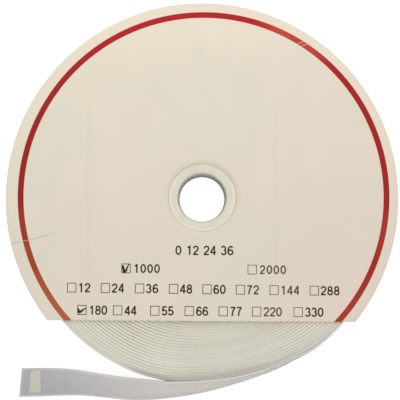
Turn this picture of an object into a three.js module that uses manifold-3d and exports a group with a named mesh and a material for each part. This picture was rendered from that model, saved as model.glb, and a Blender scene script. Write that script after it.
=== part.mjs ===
// Roll of hook tape on a card-flanged spool.
// Millimetres, +Z up. The roll lies on its rear card: the origin is on the spool's axis,
// in the plane of the rear card's outer face, and +Z runs through the bore towards the
// printed front card. The tape leaves the roll on the -Y side and heads for -X.

import * as THREE from 'three';
import { mergeVertices } from 'three/addons/utils/BufferGeometryUtils.js';
import Module from 'manifold-3d';

const wasm = await Module();
wasm.setup();

// ---------------------------------------------------------------- driving dimensions

const GAP = 0.3;               // working clearance between touching pieces

const TAPE_W = 20;             // tape width
const TAPE_T = 1.0;            // web and hooks, pressed
const CARD_T = 0.8;            // card flange thickness
const CARD_R = 131;            // card flange outer radius
const CARD_BORE_R = 18.8;      // hole that turns on the collar's neck
const CHORD_Y = -82;           // straight cut across the front card
const DISH = 1.2;              // how far the collars pull the cards in
const DISH_R0 = 23.0;          // dish is flat inside this radius
const DISH_R1 = 26.0;          // and runs out to the card's own plane here

const BORE_R = 16;             // spindle bore
const NECK_R = 18.5;           // collar neck
const LIP_R = 22.5;            // collar lip
const LIP_T = 0.85;
const LIP_SUNK = 0.05;         // lip's outer face lies this far under the card's face
const BEAD_R = 19.2;           // snap bead on the neck

const DRUM_R = 25.6;           // winding drum
const DRUM_BORE_R = 18.8;
const DRUM_RELIEF_R = 19.6;    // the snap beads open out in here
const DRUM_POCKET_R0 = 20.6;
const DRUM_POCKET_R1 = 23.2;
const DRUM_RIBS = 6;
const DRUM_RIB_T = 2.0;
const NOTCH_R = 24.3;          // flat step for the tape's inner end
const NOTCH_AT = 205;          // degrees
const NOTCH_HALF = 12;         // degrees
const PAD_HALF = 10;           // degrees

const PACK_R0 = 26.0;          // wound tape
const PACK_R1 = 121.5;

const PACK_Z0 = CARD_T + GAP;
const PACK_Z1 = PACK_Z0 + TAPE_W;
const HEIGHT = PACK_Z1 + GAP + CARD_T;
const MID_Z = HEIGHT / 2;
const DRUM_Z0 = DISH + CARD_T + GAP;
const DRUM_Z1 = HEIGHT - DRUM_Z0;

const CARD_SEGMENTS = 72;
const NECK_SEGMENTS = 48;
const PACK_SEGMENTS = 96;

// Edges of the leaning outer wrap: angle, low edge radius and height, high edge radius and height.
const WRAP = [
  [-22.0, 122.6, 1.5, 122.6, 21.0],
  [-36.0, 125.2, 1.5, 124.7, 20.9],
  [-47.7, 127.5, 1.5, 125.0, 20.7],
  [-60.9, 130.0, 1.5, 123.1, 19.9],
  [-70.9, 130.6, 1.5, 122.4, 19.2],
  [-80.6, 132.6, 1.2, 122.5, 17.8],
  [-89.2, 136.4, 0.8, 123.3, 15.6],
];

// Edges of the free tail: low edge, then high edge. It twists down until it lies flat.
const TAIL = [
  [[-3.2, -137.6, 0.75], [-3.4, -123.8, 15.1]],
  [[-12.0, -139.2, 0.65], [-12.0, -124.5, 14.0]],
  [[-21.8, -140.6, 0.6], [-21.1, -125.0, 13.0]],
  [[-41.7, -142.35, 0.6], [-39.2, -124.8, 9.75]],
  [[-59.5, -141.65, 0.6], [-56.0, -123.5, 8.15]],
  [[-77.1, -139.8, 0.6], [-73.1, -121.5, 7.2]],
  [[-93.0, -139.3, 0.6], [-90.5, -119.95, 4.2]],
  [[-108.1, -139.95, 0.6], [-108.0, -120.0, 1.6]],
  [[-118.2, -140.3, 0.62], [-117.5, -120.3, 0.8]],
  [[-128.4, -140.5, 0.62], [-126.7, -120.6, 0.65]],
];

const TAB_U = [0.836, 0.92];   // where the end tab lies along the tail
const TAB_V = [0.1, 0.9];      // and across it
const TAB_T = 0.4;

// ---------------------------------------------------------------- helpers

const rad = THREE.MathUtils.degToRad;

// Drop everything but position, merge shared corners, and make the faces point out.
function closed(geometry) {
  let g = geometry.clone();
  g.deleteAttribute('normal');
  if (g.attributes.uv) g.deleteAttribute('uv');
  g.clearGroups();
  g = mergeVertices(g, 1e-4);
  const p = g.attributes.position;
  const src = g.index.array;
  const kept = [];
  let volume = 0;
  const a = new THREE.Vector3(), b = new THREE.Vector3(), c = new THREE.Vector3();
  for (let i = 0; i < src.length; i += 3) {
    const [i0, i1, i2] = [src[i], src[i + 1], src[i + 2]];
    if (i0 === i1 || i1 === i2 || i2 === i0) continue;
    a.fromBufferAttribute(p, i0); b.fromBufferAttribute(p, i1); c.fromBufferAttribute(p, i2);
    volume += a.dot(b.clone().cross(c)) / 6;
    kept.push(i0, i1, i2);
  }
  if (volume < 0) for (let i = 0; i < kept.length; i += 3) [kept[i], kept[i + 1]] = [kept[i + 1], kept[i]];
  g.setIndex(kept);
  return g;
}

function solidOf(geometry) {
  const g = closed(geometry);
  return new wasm.Manifold(new wasm.Mesh({
    numProp: 3,
    vertProperties: new Float32Array(g.attributes.position.array),
    triVerts: new Uint32Array(g.index.array),
  }));
}

function geometryOf(solid) {
  const m = solid.getMesh();
  const g = new THREE.BufferGeometry();
  g.setAttribute('position', new THREE.BufferAttribute(new Float32Array(m.vertProperties), 3));
  g.setIndex(Array.from(m.triVerts));
  g.computeVertexNormals();
  return g;
}

// Ring turned round Z from a closed profile of [radius, height] points.
function turned(profile, segments) {
  const points = profile.map(([r, z]) => new THREE.Vector2(r, z));
  points.push(points[0].clone());
  const g = new THREE.LatheGeometry(points, segments);
  g.rotateX(Math.PI / 2);
  return closed(g);
}

const mirrored = (profile) => profile.map(([r, z]) => [r, HEIGHT - z]);

function arcPoints(r, from, to, steps) {
  const out = [];
  for (let i = 0; i <= steps; i++) {
    const t = rad(from + (to - from) * i / steps);
    out.push(new THREE.Vector2(r * Math.cos(t), r * Math.sin(t)));
  }
  return out;
}

// Strip of tape between two edge curves, u along it, v from low to high edge, w out of its face.
function ribbon(low, high, { u = [0, 1], v = [0, 1], w, along, across }) {
  const g = new THREE.BoxGeometry(1, 1, 1, along, 1, across);
  const p = g.attributes.position;
  const q = new THREE.Vector3(), side = new THREE.Vector3(), run = new THREE.Vector3();
  for (let i = 0; i < p.count; i++) {
    const fu = u[0] + (u[1] - u[0]) * (p.getX(i) + 0.5);
    const fv = v[0] + (v[1] - v[0]) * (p.getZ(i) + 0.5);
    const fw = w[0] + (w[1] - w[0]) * (p.getY(i) + 0.5);
    const l = low.getPoint(fu), h = high.getPoint(fu);
    q.lerpVectors(l, h, fv);
    const u0 = Math.max(0, fu - 0.004), u1 = Math.min(1, fu + 0.004);
    run.lerpVectors(low.getPoint(u1), high.getPoint(u1), fv)
      .sub(new THREE.Vector3().lerpVectors(low.getPoint(u0), high.getPoint(u0), fv));
    side.subVectors(h, l);
    q.addScaledVector(side.cross(run).normalize(), fw);   // away from the roll, or up
    p.setXYZ(i, q.x, q.y, q.z);
  }
  return closed(g);
}

const curve = (points) => new THREE.CatmullRomCurve3(points.map((c) => new THREE.Vector3(...c)), false, 'centripetal');
const polar = (deg, r, z) => [r * Math.cos(rad(deg)), r * Math.sin(rad(deg)), z];

// ---------------------------------------------------------------- materials

const card = new THREE.MeshStandardMaterial({ color: 0xe2d8c6, roughness: 0.85, metalness: 0 });
const plastic = new THREE.MeshStandardMaterial({ color: 0xded9c8, roughness: 0.45, metalness: 0 });
const tape = new THREE.MeshStandardMaterial({ color: 0xd1cdbd, roughness: 0.9, metalness: 0 });
const hooks = new THREE.MeshStandardMaterial({ color: 0xb4b3b5, roughness: 0.8, metalness: 0 });
const paper = new THREE.MeshStandardMaterial({ color: 0xc8c5b4, roughness: 0.9, metalness: 0 });
const foam = new THREE.MeshStandardMaterial({ color: 0xe8e6de, roughness: 0.95, metalness: 0 });

const roll = new THREE.Group();

function put(name, geometry, material) {
  geometry.computeVertexNormals();
  const mesh = new THREE.Mesh(geometry, material.clone());
  mesh.name = name;
  roll.add(mesh);
}

// ---------------------------------------------------------------- cards

// Section of the rear card: flat outside, dished in towards the drum where the collar clips it.
const dishSteps = 4;
const dished = [];
for (let i = 0; i <= dishSteps; i++) {
  const t = i / dishSteps;
  dished.push([DISH_R0 + (DISH_R1 - DISH_R0) * t, DISH * (1 - t * t * (3 - 2 * t))]);
}
const cardProfile = [
  [CARD_BORE_R, DISH],
  ...dished,
  [CARD_R, 0],
  [CARD_R, CARD_T],
  ...dished.slice().reverse().map(([r, z]) => [r, z + CARD_T]),
  [CARD_BORE_R, DISH + CARD_T],
];

put('rear_card', turned(cardProfile, CARD_SEGMENTS), card);

const offcut = new THREE.BoxGeometry(2 * CARD_R + 20, 100, 20);
offcut.translate(0, CHORD_Y - 50, HEIGHT);
put('front_card', geometryOf(
  solidOf(turned(mirrored(cardProfile), CARD_SEGMENTS)).subtract(solidOf(offcut)),
), card);

// ---------------------------------------------------------------- collars

const lipZ = LIP_SUNK;
const neckEnd = MID_Z - GAP / 2;
const collarProfile = [
  [BORE_R + 1.0, lipZ],
  [LIP_R - 0.7, lipZ],
  [LIP_R - 0.2, lipZ + 0.2],
  [LIP_R, lipZ + 0.55],
  [LIP_R - 0.05, lipZ + LIP_T],
  [NECK_R, lipZ + LIP_T],
  [NECK_R, 7.6],
  [BEAD_R, 8.2],
  [BEAD_R, 8.8],
  [NECK_R, 10.0],
  [NECK_R - 0.4, neckEnd],
  [BORE_R, neckEnd],
  [BORE_R, lipZ + 1.0],
  [BORE_R + 0.3, lipZ + 0.3],
];

put('rear_collar', turned(collarProfile, NECK_SEGMENTS), plastic);
put('front_collar', turned(mirrored(collarProfile), NECK_SEGMENTS), plastic);

// ---------------------------------------------------------------- drum and start pad

const drumOutline = new THREE.Shape([
  ...arcPoints(DRUM_R, NOTCH_AT + NOTCH_HALF, NOTCH_AT + 360 - NOTCH_HALF, 56),
  ...arcPoints(NOTCH_R, NOTCH_AT - NOTCH_HALF, NOTCH_AT + NOTCH_HALF, 4),
]);
drumOutline.holes.push(new THREE.Path(arcPoints(DRUM_BORE_R, 0, -360, NECK_SEGMENTS).slice(1)));
for (let k = 0; k < DRUM_RIBS; k++) {
  const mid = NOTCH_AT + 360 * (k + 0.5) / DRUM_RIBS;
  const half = (r) => 180 / DRUM_RIBS - THREE.MathUtils.radToDeg(Math.asin(DRUM_RIB_T / 2 / r));
  const [hi, ho] = [half(DRUM_POCKET_R0), half(DRUM_POCKET_R1)];
  drumOutline.holes.push(new THREE.Path([
    ...arcPoints(DRUM_POCKET_R0, mid - hi, mid + hi, 8),
    ...arcPoints(DRUM_POCKET_R1, mid + ho, mid - ho, 8),
  ]));
}
const drumBlank = new THREE.ExtrudeGeometry(drumOutline, { depth: DRUM_Z1 - DRUM_Z0, bevelEnabled: false });
drumBlank.translate(0, 0, DRUM_Z0);
const relief = turned([
  [DRUM_BORE_R - 1, 7.0], [DRUM_BORE_R, 7.0], [DRUM_RELIEF_R, 7.4],
  [DRUM_RELIEF_R, HEIGHT - 7.4], [DRUM_BORE_R, HEIGHT - 7.0], [DRUM_BORE_R - 1, HEIGHT - 7.0],
], NECK_SEGMENTS);
put('core_drum', geometryOf(solidOf(drumBlank).subtract(solidOf(relief))), plastic);

const padOutline = new THREE.Shape([
  ...arcPoints(PACK_R0 - GAP, NOTCH_AT - PAD_HALF, NOTCH_AT + PAD_HALF, 6),
  ...arcPoints(NOTCH_R + GAP, NOTCH_AT + PAD_HALF, NOTCH_AT - PAD_HALF, 6),
]);
const pad = new THREE.ExtrudeGeometry(padOutline, { depth: DRUM_Z1 - DRUM_Z0 - 2, bevelEnabled: false });
pad.translate(0, 0, DRUM_Z0 + 1);
put('start_pad', closed(pad), foam);

// ---------------------------------------------------------------- tape

put('tape_pack', turned([
  [PACK_R0, PACK_Z0], [PACK_R1, PACK_Z0], [PACK_R1, PACK_Z1], [PACK_R0, PACK_Z1],
], PACK_SEGMENTS), tape);

const wrapLow = curve(WRAP.map(([t, r, z]) => polar(t, r, z)));
const wrapHigh = curve(WRAP.map(([t, , , r, z]) => polar(t, r, z)));
put('outer_wrap', ribbon(wrapLow, wrapHigh, { w: [-TAPE_T / 2, TAPE_T / 2], along: 24, across: 2 }), hooks);

const tailLow = curve(TAIL.map(([l]) => l));
const tailHigh = curve(TAIL.map(([, h]) => h));
put('tape_tail', ribbon(tailLow, tailHigh, { w: [-TAPE_T / 2, TAPE_T / 2], along: 30, across: 2 }), hooks);

put('end_tab', ribbon(tailLow, tailHigh, {
  u: TAB_U, v: TAB_V, w: [TAPE_T / 2 + GAP, TAPE_T / 2 + GAP + TAB_T], along: 3, across: 2,
}), paper);

export default roll;
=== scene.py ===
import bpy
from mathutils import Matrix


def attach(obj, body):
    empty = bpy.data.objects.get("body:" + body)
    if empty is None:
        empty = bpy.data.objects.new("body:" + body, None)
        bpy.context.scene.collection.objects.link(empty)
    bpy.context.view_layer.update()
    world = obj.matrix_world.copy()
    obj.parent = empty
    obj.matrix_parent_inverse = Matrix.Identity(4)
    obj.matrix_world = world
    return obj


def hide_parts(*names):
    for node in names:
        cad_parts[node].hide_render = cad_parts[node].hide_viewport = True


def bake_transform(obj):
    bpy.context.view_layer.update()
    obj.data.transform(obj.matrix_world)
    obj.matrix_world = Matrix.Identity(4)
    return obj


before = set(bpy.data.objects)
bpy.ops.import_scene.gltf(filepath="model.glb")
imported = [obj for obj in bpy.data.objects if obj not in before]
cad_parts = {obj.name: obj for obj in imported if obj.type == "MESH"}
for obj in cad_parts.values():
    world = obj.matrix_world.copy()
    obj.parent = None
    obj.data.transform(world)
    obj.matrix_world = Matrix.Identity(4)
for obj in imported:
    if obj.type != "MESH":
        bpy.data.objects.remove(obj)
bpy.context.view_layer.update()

import math

import bmesh
import bpy
import numpy as np
from mathutils import Matrix, Vector

MM = 0.001
rng = np.random.default_rng(11)

# ---------------------------------------------------------------- sizes, in mm

CARD_T, CARD_R, CARD_BORE_R, CHORD_Y = 0.8, 131.0, 18.8, -82.0
DISH, LIP_R = 1.2, 22.5
HEIGHT = 22.2
PACK_Z0, TAPE_W = 1.1, 20.0
PITCH, R_OUT, R_IN = 1.86, 122.6, 27.0
END_DEG = -22.0                     # where the outermost wrap starts to lean away
WEB_IN, WEB_OUT = -0.55, 0.45       # web faces, from its middle
TURNS = (R_OUT - R_IN) / PITCH


# ---------------------------------------------------------------- camera

def place_axes(o, place, right, top, back):
    m = Matrix((right, top, back)).transposed().to_4x4()
    m.translation = place
    o.matrix_world = m


def aim(o, place, target, up=(0, 0, 1)):
    place, target, up = Vector(place), Vector(target), Vector(up)
    back = (place - target).normalized()
    right = up.cross(back).normalized()
    place_axes(o, place, right, back.cross(right), back)


def look_down(o, place, pitch, yaw, roll):
    """Camera over the roll, tipped a little towards +Y and +X and turned about its own axis, in radians."""
    ahead = Vector((math.sin(yaw), math.sin(pitch), -1)).normalized()
    right = ahead.cross(Vector((0, 1, 0))).normalized()
    top = right.cross(ahead)
    c, s = math.cos(roll), math.sin(roll)
    place_axes(o, Vector(place), right * c + top * s, top * c - right * s, -ahead)


camera = bpy.data.objects.new("camera", bpy.data.cameras.new("camera"))
bpy.context.scene.collection.objects.link(camera)
camera.data.sensor_fit = "HORIZONTAL"
camera.data.sensor_width = 36
camera.data.lens = 36 * 454.65 / 400
camera.data.shift_x, camera.data.shift_y = 0.0027, 0.0459
camera.data.clip_start = 0.01
look_down(camera, (-0.0025, -0.020, 0.3252), 0.0204, 0.00138, 0.00651)
bpy.context.scene.camera = camera
bpy.context.scene.view_settings.view_transform = "Standard"


# ---------------------------------------------------------------- node helpers

def srgb(r, g, b):
    out = []
    for c in (r, g, b):
        c /= 255
        out.append(c / 12.92 if c <= 0.04045 else ((c + 0.055) / 1.055) ** 2.4)
    return (*out, 1.0)


class Graph:
    """A material with one Principled shader, and short names for the nodes that drive it. Lengths are in mm."""

    def __init__(self, name, roughness=0.8, specular=0.3):
        self.mat = bpy.data.materials.new(name)
        self.mat.use_nodes = True
        self.nt = self.mat.node_tree
        self.nt.nodes.clear()
        out = self.nt.nodes.new("ShaderNodeOutputMaterial")
        self.bsdf = self.nt.nodes.new("ShaderNodeBsdfPrincipled")
        self.nt.links.new(self.bsdf.outputs["BSDF"], out.inputs["Surface"])
        self.bsdf.inputs["Roughness"].default_value = roughness
        self.bsdf.inputs["Specular IOR Level"].default_value = specular
        self._mm = None

    def put(self, socket, value):
        if hasattr(value, "is_output"):
            self.nt.links.new(value, socket)
        else:
            socket.default_value = value

    def mm(self):
        if self._mm is None:
            coord = self.nt.nodes.new("ShaderNodeTexCoord")
            scale = self.nt.nodes.new("ShaderNodeVectorMath")
            scale.operation = "SCALE"
            self.nt.links.new(coord.outputs["Object"], scale.inputs[0])
            scale.inputs["Scale"].default_value = 1000
            self._mm = scale.outputs[0]
        return self._mm

    def uv(self, name):
        n = self.nt.nodes.new("ShaderNodeUVMap")
        n.uv_map = name
        return n.outputs[0]

    def xyz(self, vector):
        n = self.nt.nodes.new("ShaderNodeSeparateXYZ")
        self.put(n.inputs[0], vector)
        return n.outputs[0], n.outputs[1], n.outputs[2]

    def join(self, x, y, z):
        n = self.nt.nodes.new("ShaderNodeCombineXYZ")
        for s, v in zip(n.inputs, (x, y, z)):
            self.put(s, v)
        return n.outputs[0]

    def math(self, op, a, b=None, c=None, clamp=False):
        n = self.nt.nodes.new("ShaderNodeMath")
        n.operation = op
        n.use_clamp = clamp
        for s, v in zip(n.inputs, (a, b, c)):
            if v is not None:
                self.put(s, v)
        return n.outputs[0]

    def add(self, a, b): return self.math("ADD", a, b)
    def sub(self, a, b): return self.math("SUBTRACT", a, b)
    def mul(self, a, b): return self.math("MULTIPLY", a, b)

    def scaled(self, vector, by):
        n = self.nt.nodes.new("ShaderNodeVectorMath")
        n.operation = "MULTIPLY"
        self.put(n.inputs[0], vector)
        n.inputs[1].default_value = by
        return n.outputs[0]

    def noise(self, vector, scale, detail=2.0, rough=0.5, warp=0.0):
        n = self.nt.nodes.new("ShaderNodeTexNoise")
        self.put(n.inputs["Vector"], vector)
        n.inputs["Scale"].default_value = scale
        n.inputs["Detail"].default_value = detail
        n.inputs["Roughness"].default_value = rough
        n.inputs["Distortion"].default_value = warp
        return n.outputs[0]

    def white(self, value):
        n = self.nt.nodes.new("ShaderNodeTexWhiteNoise")
        n.noise_dimensions = "1D"
        self.put(n.inputs["W"], value)
        return n.outputs[0]

    def smooth(self, x, a, b, lo=0.0, hi=1.0):
        n = self.nt.nodes.new("ShaderNodeMapRange")
        n.interpolation_type = "SMOOTHSTEP"
        n.clamp = True
        for s, v in zip(n.inputs, (x, a, b, lo, hi)):
            self.put(s, v)
        return n.outputs[0]

    def band(self, x, lo, hi, soft):
        """1 between lo and hi, 0 outside, with soft edges."""
        return self.mul(self.smooth(x, lo - soft, lo + soft), self.smooth(x, hi - soft, hi + soft, 1.0, 0.0))

    def spot(self, x, y, at, radius, soft):
        d = self.math("SQRT", self.add(self.math("POWER", self.sub(x, at[0]), 2.0), self.math("POWER", self.sub(y, at[1]), 2.0)))
        return self.smooth(d, radius - soft, radius + soft, 1.0, 0.0)

    def mix(self, factor, a, b, how="MIX"):
        n = self.nt.nodes.new("ShaderNodeMix")
        n.data_type = "RGBA"
        n.blend_type = how
        self.put(n.inputs[0], factor)
        self.put(n.inputs[6], a)
        self.put(n.inputs[7], b)
        return n.outputs[2]

    def shade(self, colour, amount):
        """colour times a number near 1."""
        n = self.nt.nodes.new("ShaderNodeMix")
        n.data_type = "RGBA"
        n.blend_type = "MULTIPLY"
        n.inputs[0].default_value = 1.0
        self.put(n.inputs[6], colour)
        self.put(n.inputs[7], self.join(amount, amount, amount))
        return n.outputs[2]

    def bump(self, height, distance, strength=1.0, under=None):
        n = self.nt.nodes.new("ShaderNodeBump")
        n.inputs["Strength"].default_value = strength
        n.inputs["Distance"].default_value = distance * MM
        self.put(n.inputs["Height"], height)
        if under is not None:
            self.put(n.inputs["Normal"], under)
        return n.outputs[0]

    def done(self, colour, normal=None, roughness=None):
        self.put(self.bsdf.inputs["Base Color"], colour)
        if normal is not None:
            self.put(self.bsdf.inputs["Normal"], normal)
        if roughness is not None:
            self.put(self.bsdf.inputs["Roughness"], roughness)
        return self.mat


# ---------------------------------------------------------------- materials

CREAM = srgb(236, 225, 208)
CREAM_GREEN = srgb(231, 225, 207)
CREAM_PINK = srgb(237, 221, 206)
NEAR_TABLE = (7.0, 0.5)             # height where the painted shade on the free end starts, and where it is darkest


def crease_line(g, x, y):
    """Height above the old fold that runs in from the left rim, and where along it the fold shows."""
    run = g.add(x, 125.0)
    line = g.add(g.add(-31.0, g.mul(run, 0.19)), g.mul(g.mul(run, run), 0.0022))
    return g.sub(y, line), g.mul(g.smooth(x, -96.0, -104.0), g.smooth(x, -131.5, -131.0))


def card_material(name, printed):
    g = Graph(name, roughness=0.78, specular=0.22)
    p = g.mm()
    x, y, z = g.xyz(p)
    cloud = g.noise(p, 0.018, 3.0, 0.55)
    cloud2 = g.noise(g.scaled(p, (1.0, 0.6, 1.0)), 0.045, 2.0, 0.5)
    fibre = g.noise(g.scaled(p, (1.0, 3.2, 1.0)), 1.1, 3.0, 0.6, 0.4)
    speck = g.noise(p, 2.6, 2.0, 0.5)
    paper = g.mix(g.smooth(cloud, 0.35, 0.65), CREAM, CREAM_GREEN)
    blush = g.add(g.add(0.25, g.smooth(cloud2, 0.25, 0.6, 0.0, 0.3)), g.smooth(y, -15.0, -70.0, 0.0, 0.45))
    paper = g.mix(g.mul(g.smooth(x, 20.0, 95.0), blush), paper, CREAM_PINK)
    tone = g.add(0.972, g.mul(cloud2, 0.045))
    tone = g.add(tone, g.mul(g.sub(fibre, 0.5), 0.05))
    tone = g.sub(tone, g.mul(g.smooth(speck, 0.70, 0.80), 0.05))
    r = g.math("SQRT", g.add(g.mul(x, x), g.mul(y, y)))
    height = g.mul(g.sub(fibre, 0.5), 1.0)
    # painted shade in the dish round the collar, darkest at the top and right, turning to a painted highlight at the
    # bottom, where the lip sits tight
    dish_shading = g.add(0.03, g.add(g.smooth(y, -4.0, 18.0, 0.0, 0.045), g.smooth(x, -4.0, 18.0, 0.0, 0.035)))
    dish_shading = g.sub(dish_shading, g.smooth(y, -10.0, -22.0, 0.0, 0.05))
    tone = g.sub(tone, g.mul(g.mul(g.smooth(r, 27.0, 23.2), g.smooth(r, 21.8, 22.8)), dish_shading))
    if printed:
        # painted light: the card is made lighter towards the top and darker towards the bottom
        tone = g.mul(tone, g.add(g.smooth(y, -60.0, 110.0, 0.977, 1.014), g.smooth(y, 78.0, 112.0, 0.0, 0.036)))
        # two old vertical bends, with painted shade along them, and a few soft smudges from handling
        bend = g.add(
            g.mul(g.smooth(g.math("ABSOLUTE", g.add(g.add(x, 76.2), g.mul(g.sub(cloud2, 0.5), 5.0))), 0.0, 3.2, 1.0, 0.0), g.band(y, -62.0, 72.0, 22.0)),
            g.mul(g.smooth(g.math("ABSOLUTE", g.sub(x, g.add(48.6, g.mul(g.sub(cloud, 0.5), 4.0)))), 0.0, 1.6, 1.0, 0.0), g.band(y, -46.0, 74.0, 22.0)),
        )
        tone = g.sub(tone, g.mul(bend, 0.022))
        tone = g.sub(tone, g.mul(g.spot(x, y, (-2.1, 95.9), 5.0, 7.0), 0.026))
        tone = g.sub(tone, g.mul(g.spot(x, y, (24.9, 81.9), 4.0, 6.0), 0.022))
        tone = g.sub(tone, g.mul(g.spot(x, y, (-37.0, 70.0), 4.0, 8.0), 0.012))
        tone = g.sub(tone, g.mul(g.spot(x, y, (59.9, 30.3), 0.5, 0.7), 0.09))
        tone = g.sub(tone, g.mul(g.spot(x, y, (71.8, 98.5), 0.9, 0.9), 0.06))
        colour = g.shade(paper, tone)
        off, along = crease_line(g, x, y)
        fold = g.mul(g.smooth(g.math("ABSOLUTE", g.add(off, g.mul(g.sub(fibre, 0.5), 0.6))), 0.0, 0.55, 1.0, 0.0), along)
        colour = g.mix(g.mul(fold, 0.42), colour, srgb(150, 132, 112))
        # printed ring: a little off centre, worn to orange at lower left, rubbed at upper right
        rx, ry = g.sub(x, 0.98), g.sub(y, 0.97)
        rr = g.math("SQRT", g.add(g.mul(rx, rx), g.mul(ry, ry)))
        rr = g.add(rr, g.mul(g.sub(speck, 0.5), 0.16))
        ring = g.mul(g.band(rr, 120.1, 124.0, 0.14), g.smooth(z, 21.55, 21.75))
        margin = g.mul(g.smooth(rr, 123.9, 124.6), g.smooth(z, 21.55, 21.75))
        colour = g.mix(g.mul(margin, g.smooth(y, -60.0, 70.0, 0.0, 0.5)), colour, srgb(244, 231, 208))
        red = g.mix(g.smooth(y, -40.0, 110.0), srgb(166, 34, 32), srgb(184, 34, 40))
        red = g.mix(g.smooth(x, -50.0, -118.0, 0.0, 0.7), red, srgb(154, 36, 33))
        red = g.mix(g.mul(g.smooth(x, 60.0, 118.0, 0.0, 0.55), g.smooth(y, -4.0, 36.0)), red, srgb(154, 36, 33))
        red = g.mix(g.mul(g.smooth(y, -3.0, -14.0, 0.0, 0.2), g.smooth(y, -44.0, -32.0)), red, srgb(184, 98, 60))
        red = g.mix(g.mul(g.smooth(y, -30.0, -80.0, 0.0, 0.5), g.smooth(x, 40.0, 60.0)), red, srgb(184, 74, 52))
        wear_and_shade = g.mul(g.math("MAXIMUM", g.smooth(y, -26.0, -78.0), g.smooth(off, 1.0, -4.0, 0.0, 0.34)), g.smooth(x, -40.0, -60.0))
        red = g.mix(wear_and_shade, red, srgb(182, 98, 56))
        rub = g.mul(g.band(x, 42.0, 79.0, 10.0), g.smooth(y, 60.0, 80.0))
        red = g.mix(g.mul(rub, g.add(0.45, g.mul(cloud2, 0.4))), red, srgb(206, 84, 62))
        red = g.shade(red, g.add(0.95, g.mul(fibre, 0.10)))
        slant = g.add(g.mul(g.sub(x, 67.1), 0.34), g.mul(g.sub(y, 104.0), -0.94))
        near = g.spot(x, y, (67.1, 104.0), 4.2, 0.8)
        scratch = g.math("MAXIMUM",
                         g.smooth(g.math("ABSOLUTE", g.sub(slant, 1.2)), 0.22, 0.68, 1.0, 0.0),
                         g.smooth(g.math("ABSOLUTE", g.add(slant, 1.2)), 0.22, 0.66, 1.0, 0.0))
        red = g.mix(g.mul(fold, 0.85), red, srgb(228, 142, 122))
        bare = g.math("MAXIMUM", g.mul(g.mul(scratch, near), 0.28), g.mul(fold, 0.15))
        bare = g.math("MAXIMUM", bare, g.mul(g.smooth(speck, 0.74, 0.84), 0.5))
        colour = g.mix(g.mul(ring, g.sub(1.0, bare)), colour, red)
        height = g.sub(height, g.mul(fold, 2.5))
        height = g.sub(height, g.mul(bend, 1.2))
    else:
        colour = g.shade(paper, tone)
    # darker round the rim
    rim = g.smooth(g.add(r, g.mul(g.sub(fibre, 0.5), 1.6)), 129.6, 131.2)
    colour = g.mix(g.mul(rim, 0.35), colour, srgb(222, 210, 190))
    return g.done(colour, g.bump(height, 0.05, 0.55))


def ink_material():
    g = Graph("printing_ink", roughness=0.6, specular=0.3)
    p = g.mm()
    x, y, z = g.xyz(p)
    blot = g.noise(p, 1.3, 3.0, 0.6)
    cloud = g.noise(p, 0.05, 2.0, 0.5)
    fade = g.add(g.mul(g.smooth(blot, 0.35, 0.75), 0.22), g.mul(g.smooth(cloud, 0.45, 0.7), 0.15))
    fade = g.add(fade, g.mul(g.mul(g.smooth(x, 16.0, 44.0), g.smooth(x, 76.0, 60.0)), 0.55))
    colour = g.mix(fade, srgb(20, 14, 8), srgb(120, 103, 84))
    return g.done(colour)


def plastic_material(name, tint=1.0):
    g = Graph(name, roughness=0.42, specular=0.42)
    g.bsdf.inputs["Subsurface Weight"].default_value = 0.06
    g.bsdf.inputs["Subsurface Radius"].default_value = (0.0012, 0.0011, 0.0008)
    p = g.mm()
    x, y, z = g.xyz(p)
    flow = g.noise(g.scaled(p, (1.0, 1.0, 0.3)), 0.12, 3.0, 0.5, 0.6)
    grain = g.noise(p, 3.2, 3.0, 0.6)
    a, b = srgb(231 * tint, 228 * tint, 210 * tint), srgb(225 * tint, 221 * tint, 202 * tint)
    colour = g.mix(g.smooth(flow, 0.3, 0.7), a, b)
    # painted highlight on the lip's outer edge, except at the top
    r = g.math("SQRT", g.add(g.mul(x, x), g.mul(y, y)))
    pale = g.mul(g.smooth(r, 19.8, 21.2), g.smooth(y, 17.0, 4.0))
    colour = g.mix(g.mul(pale, 0.75), colour, srgb(241 * tint, 235 * tint, 216 * tint))
    colour = g.shade(colour, g.smooth(y, 7.0, 18.0, 1.0, 0.962))
    # painted shade round the lip's inner edge at the bottom
    wear_and_shade = g.mul(g.smooth(r, 18.2, 16.4), g.smooth(y, -6.0, -14.0))
    colour = g.mix(g.mul(wear_and_shade, 0.8), colour, srgb(212 * tint, 213 * tint, 200 * tint))
    # the bore is a greyer colour
    colour = g.mix(g.smooth(r, 16.75, 16.25), colour, g.mix(flow, srgb(221, 220, 216), srgb(211, 210, 206)))
    colour = g.shade(colour, g.add(0.985, g.mul(grain, 0.03)))
    return g.done(colour, g.bump(grain, 0.02, 0.4), g.add(0.36, g.mul(flow, 0.14)))


def end_shade(g, x, y, z):
    """How much painted shade the free end gets: most where it lies on the table, and towards its cut end."""
    side = g.mul(g.smooth(x, 35.0, 75.0, 0.0, 0.4), g.smooth(y, -48.0, -84.0))
    along = g.math("MAXIMUM", g.smooth(x, -14.0, -127.0), side)
    return g.math("MAXIMUM", g.smooth(z, *NEAR_TABLE, 0.0, 0.40), along)


def end_edge_darkening(g, x, y):
    """How much darker the flat part of the free end is towards its outer edge."""
    return g.mul(g.smooth(y, -124.0, -139.0, 0.0, 0.058), g.smooth(x, -20.0, -60.0))


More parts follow.
